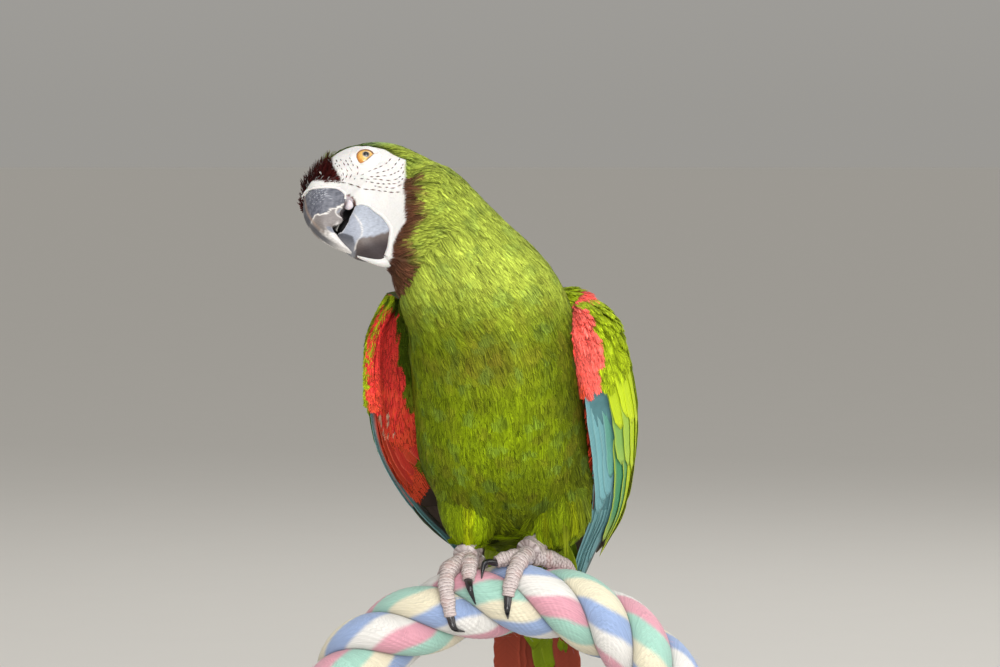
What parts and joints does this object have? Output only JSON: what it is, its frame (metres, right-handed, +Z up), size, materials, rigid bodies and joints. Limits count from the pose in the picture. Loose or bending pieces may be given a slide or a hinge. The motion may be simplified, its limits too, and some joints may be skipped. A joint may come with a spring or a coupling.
{
  "type": "chestnut-fronted macaw on a rope perch",
  "caption": "Life-size macaw with green plumage, red and blue wing patches and a bare white face, gripping a short rope arch on a plain stand.",
  "frame": {"origin": "centre of the stand base's underside", "axes": "+Z up, -Y the way the bird's breast faces, +X to the bird's left; the underside of the base faces -Z"},
  "size_m": [0.27, 0.2019, 0.4297],
  "materials": {
    "body_feathers": "soft, faintly glossy feather",
    "head_feathers_and_skin": "bare white skin and short feather",
    "wing_feathers": "sleek vaned feather",
    "tail_feathers": "sleek vaned feather",
    "upper_bill_horn": "worn horn",
    "lower_bill_horn": "worn horn",
    "eye": "wet and clear",
    "foot_skin": "scaly skin",
    "claw_horn": "polished horn",
    "perch_cotton": "soft laid cotton",
    "stand_steel": "brushed",
    "stand_lacquer": "satin black lacquer"
  },
  "bodies": {
    "root": {"torso": "body_feathers", "neck": "body_feathers", "head": "head_feathers_and_skin", "thigh_left": "body_feathers", "thigh_right": "body_feathers", "wing_left": "wing_feathers", "wing_right": "wing_feathers", "tail": "tail_feathers", "upper_beak": "upper_bill_horn", "lower_beak": "lower_bill_horn", "eye_left": "eye", "eye_right": "eye", "foot_left": "foot_skin", "foot_right": "foot_skin", "perch_strand_1": "perch_cotton", "perch_strand_2": "perch_cotton", "perch_strand_3": "perch_cotton", "stand_base": "stand_lacquer", "stand_rod_left": "stand_steel", "stand_rod_right": "stand_steel", "stand_cap_left": "stand_steel", "stand_cap_right": "stand_steel", "claw_right_1": "claw_horn", "claw_right_2": "claw_horn", "claw_right_3": "claw_horn", "claw_right_4": "claw_horn", "claw_left_1": "claw_horn", "claw_left_2": "claw_horn", "claw_left_3": "claw_horn", "claw_left_4": "claw_horn"}
  },
  "joints": []
}
